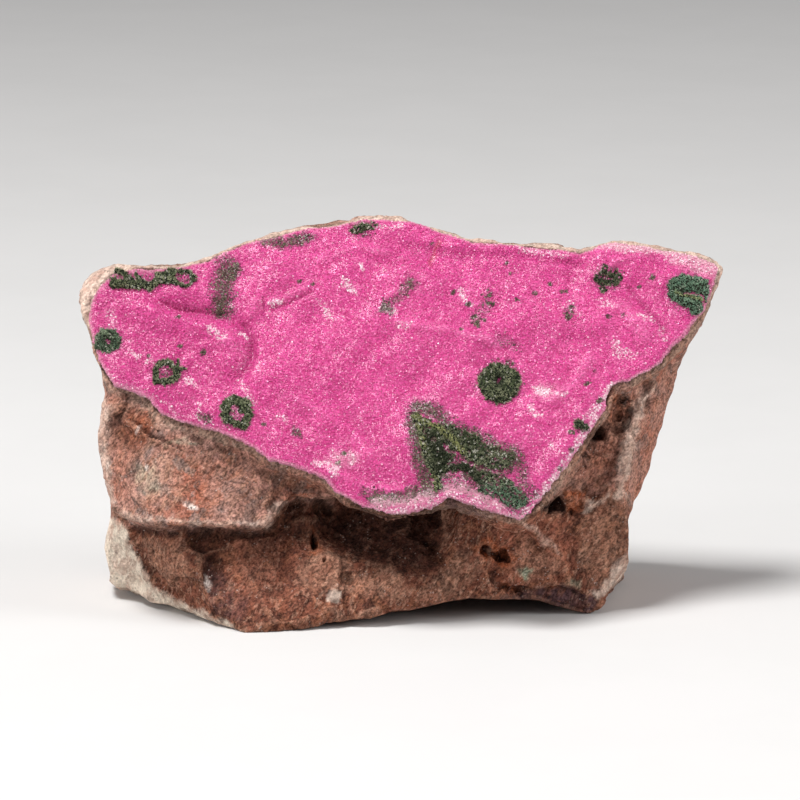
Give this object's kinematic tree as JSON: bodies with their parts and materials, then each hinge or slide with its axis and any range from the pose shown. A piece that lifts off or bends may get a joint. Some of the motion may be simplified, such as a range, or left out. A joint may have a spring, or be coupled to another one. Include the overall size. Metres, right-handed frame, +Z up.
{
  "type": "mineral specimen",
  "caption": "Cabinet mineral specimen: a broken red-brown dolomite block that stands on its base, its leaning face covered by a crust of pink cobaltoan calcite with green malachite growths.",
  "frame": {"origin": "centre of the bounding box in X and Y, on the flat base it stands on", "axes": "+X along the specimen's width, to the right of the crust's face; -Y out of that face's side; +Z up"},
  "size_m": [0.1304, 0.0609, 0.0773],
  "materials": {
    "dolomite": "rough broken rock",
    "cobaltoan_calcite": "sparkling fine crystals",
    "malachite": "velvety fibrous crystals"
  },
  "bodies": {
    "root": {"matrix": "dolomite", "calcite_crust": "cobaltoan_calcite", "malachite_chain": "malachite", "malachite_crest": "malachite", "malachite_spray": "malachite", "malachite_patch_right": "malachite", "malachite_patch_upper": "malachite", "malachite_patch_low": "malachite", "malachite_ring_left": "malachite", "malachite_ring_middle": "malachite", "malachite_ring_low": "malachite", "malachite_rosette": "malachite"}
  },
  "joints": []
}
